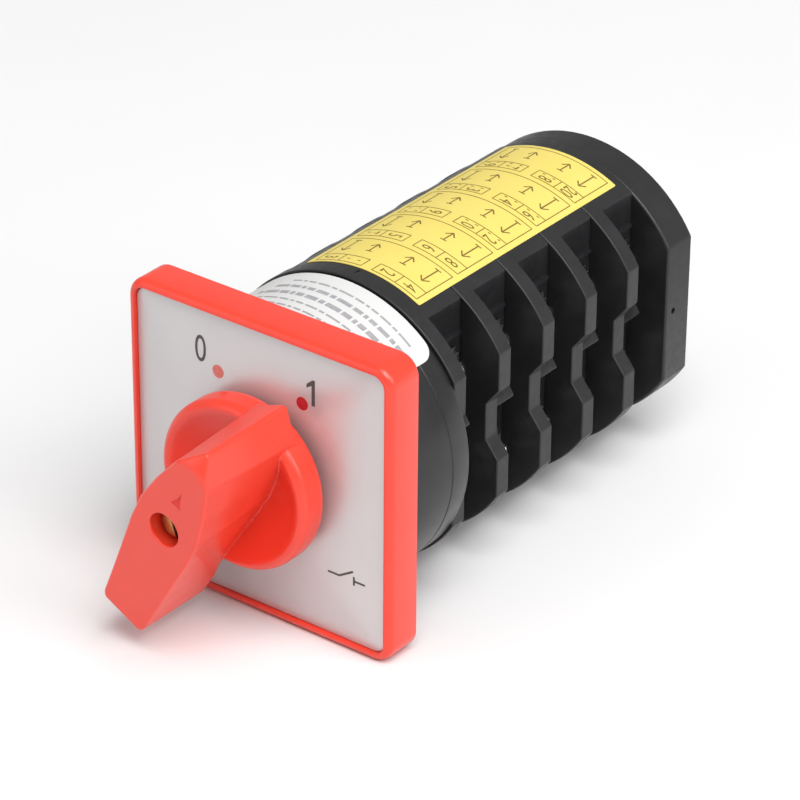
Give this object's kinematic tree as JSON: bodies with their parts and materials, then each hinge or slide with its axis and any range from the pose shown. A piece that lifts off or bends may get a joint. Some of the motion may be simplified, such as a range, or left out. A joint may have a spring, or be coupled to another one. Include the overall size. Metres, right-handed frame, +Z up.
{
  "type": "rotary cam switch",
  "caption": "Panel-mounted rotary cam switch: square bezel, lever handle on a dial, round mechanism drum, stacked contact discs with open terminal bays, end cap.",
  "frame": {"origin": "on the shaft's axis, in the plane of the bezel's back face, which lies on the panel", "axes": "+X right and +Z up as seen from the front, +Y back along the shaft, away from the handle"},
  "size_m": [0.06, 0.1297, 0.06],
  "materials": {
    "red_plastic": "satin moulded",
    "dial_metal": "satin anodised",
    "black_gloss": "polished moulded",
    "black_matte": "satin moulded",
    "white_label": "printed film",
    "yellow_label": "printed film",
    "ivory_plastic": "moulded",
    "zinc_steel": "zinc plated",
    "shaft_steel": "drawn",
    "brass": "plain"
  },
  "bodies": {
    "switch_body": {"bezel_frame": "red_plastic", "dial_plate": "dial_metal", "mounting_screw_left": "zinc_steel", "mounting_screw_right": "zinc_steel", "mechanism_housing": "black_gloss", "rating_label": "white_label", "detent_spring_upper": "zinc_steel", "detent_spring_lower": "zinc_steel", "contact_block_1": "black_matte", "contact_block_2": "black_matte", "contact_block_3": "black_matte", "contact_block_4": "black_matte", "contact_block_5": "black_matte", "terminal_01": "zinc_steel", "terminal_02": "zinc_steel", "terminal_03": "zinc_steel", "terminal_04": "zinc_steel", "terminal_05": "zinc_steel", "terminal_06": "zinc_steel", "terminal_07": "zinc_steel", "terminal_08": "zinc_steel", "terminal_09": "zinc_steel", "terminal_10": "zinc_steel", "terminal_11": "zinc_steel", "terminal_12": "zinc_steel", "terminal_13": "zinc_steel", "terminal_14": "zinc_steel", "terminal_15": "zinc_steel", "terminal_16": "zinc_steel", "terminal_17": "zinc_steel", "terminal_18": "zinc_steel", "terminal_19": "zinc_steel", "terminal_20": "zinc_steel", "terminal_label": "yellow_label", "end_cap": "black_matte", "tie_bolt_upper": "zinc_steel", "tie_nut_upper": "zinc_steel", "tie_bolt_lower": "zinc_steel", "tie_nut_lower": "zinc_steel"},
    "rotor": {"handle": "red_plastic", "handle_screw": "brass", "shaft": "shaft_steel", "star_wheel": "ivory_plastic", "cam_1": "ivory_plastic", "cam_2": "ivory_plastic", "cam_3": "ivory_plastic", "cam_4": "ivory_plastic", "cam_5": "ivory_plastic"},
    "detent_plunger_upper": {"detent_plunger_upper": "shaft_steel"},
    "detent_plunger_lower": {"detent_plunger_lower": "shaft_steel"},
    "bridge_1_upper": {"bridge_1_upper": "brass"},
    "bridge_1_lower": {"bridge_1_lower": "brass"},
    "bridge_2_upper": {"bridge_2_upper": "brass"},
    "bridge_2_lower": {"bridge_2_lower": "brass"},
    "bridge_3_upper": {"bridge_3_upper": "brass"},
    "bridge_3_lower": {"bridge_3_lower": "brass"},
    "bridge_4_upper": {"bridge_4_upper": "brass"},
    "bridge_4_lower": {"bridge_4_lower": "brass"},
    "bridge_5_upper": {"bridge_5_upper": "brass"},
    "bridge_5_lower": {"bridge_5_lower": "brass"}
  },
  "joints": [
    {"name": "shaft_turn", "type": "hinge", "parent": "switch_body", "child": "rotor", "pos_m": [0, 0, 0], "axis": [0, -1, 0], "range_deg": [0, 60]},
    {"name": "bridge_1_upper_lift", "type": "slide", "parent": "switch_body", "child": "bridge_1_upper", "axis": [0, 0, 1], "range_m": [0, 0.002]},
    {"name": "bridge_1_lower_lift", "type": "slide", "parent": "switch_body", "child": "bridge_1_lower", "axis": [0, 0, -1], "range_m": [0, 0.002]},
    {"name": "bridge_2_upper_lift", "type": "slide", "parent": "switch_body", "child": "bridge_2_upper", "axis": [0, 0, 1], "range_m": [0, 0.002]},
    {"name": "bridge_2_lower_lift", "type": "slide", "parent": "switch_body", "child": "bridge_2_lower", "axis": [0, 0, -1], "range_m": [0, 0.002]},
    {"name": "bridge_3_upper_lift", "type": "slide", "parent": "switch_body", "child": "bridge_3_upper", "axis": [0, 0, 1], "range_m": [0, 0.002]},
    {"name": "bridge_3_lower_lift", "type": "slide", "parent": "switch_body", "child": "bridge_3_lower", "axis": [0, 0, -1], "range_m": [0, 0.002]},
    {"name": "bridge_4_upper_lift", "type": "slide", "parent": "switch_body", "child": "bridge_4_upper", "axis": [0, 0, 1], "range_m": [0, 0.002]},
    {"name": "bridge_4_lower_lift", "type": "slide", "parent": "switch_body", "child": "bridge_4_lower", "axis": [0, 0, -1], "range_m": [0, 0.002]},
    {"name": "bridge_5_upper_lift", "type": "slide", "parent": "switch_body", "child": "bridge_5_upper", "axis": [0, 0, 1], "range_m": [0, 0.002]},
    {"name": "bridge_5_lower_lift", "type": "slide", "parent": "switch_body", "child": "bridge_5_lower", "axis": [0, 0, -1], "range_m": [0, 0.002]},
    {"name": "detent_upper_press", "type": "slide", "parent": "switch_body", "child": "detent_plunger_upper", "axis": [0, 0, -1], "range_m": [0, 0.0017], "stiffness_N_per_m": 300, "deforming": ["detent_spring_upper"]},
    {"name": "detent_lower_press", "type": "slide", "parent": "switch_body", "child": "detent_plunger_lower", "axis": [0, 0, 1], "range_m": [0, 0.0017], "stiffness_N_per_m": 300, "deforming": ["detent_spring_lower"]}
  ],
  "couplings": [
    {"joint": "bridge_1_upper_lift", "follows": "shaft_turn", "m_per_rad": 0.0019099},
    {"joint": "bridge_1_lower_lift", "follows": "shaft_turn", "m_per_rad": 0.0019099},
    {"joint": "bridge_2_upper_lift", "follows": "shaft_turn", "m_per_rad": 0.0019099},
    {"joint": "bridge_2_lower_lift", "follows": "shaft_turn", "m_per_rad": 0.0019099},
    {"joint": "bridge_3_upper_lift", "follows": "shaft_turn", "m_per_rad": 0.0019099},
    {"joint": "bridge_3_lower_lift", "follows": "shaft_turn", "m_per_rad": 0.0019099},
    {"joint": "bridge_4_upper_lift", "follows": "shaft_turn", "m_per_rad": 0.0019099},
    {"joint": "bridge_4_lower_lift", "follows": "shaft_turn", "m_per_rad": 0.0019099},
    {"joint": "bridge_5_upper_lift", "follows": "shaft_turn", "m_per_rad": 0.0019099},
    {"joint": "bridge_5_lower_lift", "follows": "shaft_turn", "m_per_rad": 0.0019099}
  ]
}
